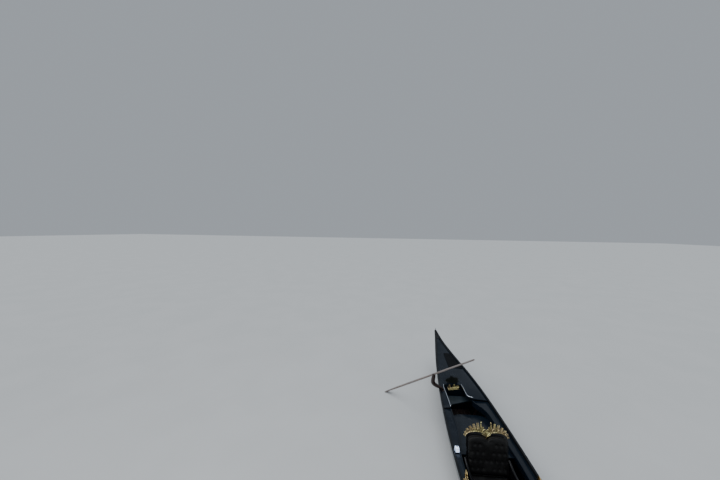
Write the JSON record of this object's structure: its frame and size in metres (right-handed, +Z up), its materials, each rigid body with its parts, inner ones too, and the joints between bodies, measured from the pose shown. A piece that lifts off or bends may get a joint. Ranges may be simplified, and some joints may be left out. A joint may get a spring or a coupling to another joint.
{
  "type": "gondola boat",
  "caption": "Long black rowing boat with a flat bottom, lopsided hull, raised ends, toothed bow iron, a seat with a gilded crest, and an oar in a crooked rowlock.",
  "frame": {"origin": "on the centreline at mid-length, at the height of the waterline", "axes": "+X towards the bow along the boat, +Y to port, +Z up"},
  "size_m": [10.8717, 3.3608, 2.501],
  "materials": {
    "hull_lacquer": "black gloss lacquer",
    "deck_lacquer": "black gloss lacquer with a blue-grey sheen",
    "inner_wood": "dark varnished boards",
    "upholstery": "soft black leather",
    "foot_mat": "matt ribbed rubber",
    "gilding": "gilded carving",
    "brass": "polished brass",
    "polished_iron": "polished iron plate and bright rails",
    "walnut": "oiled walnut",
    "oar_wood": "pale worn wood",
    "dark_leaves": "dark carved and painted leaves",
    "lamp": "milky lamp body"
  },
  "bodies": {
    "boat": {"bottom_aft": "hull_lacquer", "bottom_middle": "hull_lacquer", "bottom_fore": "hull_lacquer", "side_planking_starboard": "hull_lacquer", "side_planking_port": "hull_lacquer", "stern_post": "hull_lacquer", "stem_post": "hull_lacquer", "gunwale_cap_starboard": "hull_lacquer", "gunwale_cap_port": "hull_lacquer", "stern_deck": "deck_lacquer", "bow_deck": "deck_lacquer", "side_deck_starboard": "deck_lacquer", "side_deck_port": "deck_lacquer", "stern_bulkhead": "deck_lacquer", "bow_bulkhead": "deck_lacquer", "stern_thwart": "deck_lacquer", "bow_thwart": "deck_lacquer", "frames": "inner_wood", "stern_floor": "inner_wood", "passenger_floor": "inner_wood", "rear_platform": "deck_lacquer", "well_rail_starboard": "polished_iron", "well_rail_port": "polished_iron", "foot_mat": "foot_mat", "bow_iron": "polished_iron", "stern_iron": "polished_iron", "seat_box": "deck_lacquer", "seat_cushion": "upholstery", "seat_back_board": "deck_lacquer", "seat_back": "upholstery", "seat_crest": "gilding", "seat_arm_starboard": "deck_lacquer", "seat_arm_port": "deck_lacquer", "chair_starboard": "deck_lacquer", "chair_cushion_starboard": "upholstery", "chair_port": "deck_lacquer", "chair_cushion_port": "upholstery", "sea_horse_starboard": "brass", "sea_horse_port": "brass", "stern_ornament": "gilding", "ornament_leaves": "dark_leaves", "deck_lamp": "lamp", "rowlock_block": "walnut", "rowlock": "walnut"},
    "oar": {"oar": "oar_wood"}
  },
  "joints": [
    {"name": "oar_sweep", "type": "hinge", "parent": "boat", "child": "oar", "pos_m": [-2.579, -0.637, 1.12], "axis": [0, 0, 1], "range_deg": [-10, 65]}
  ]
}
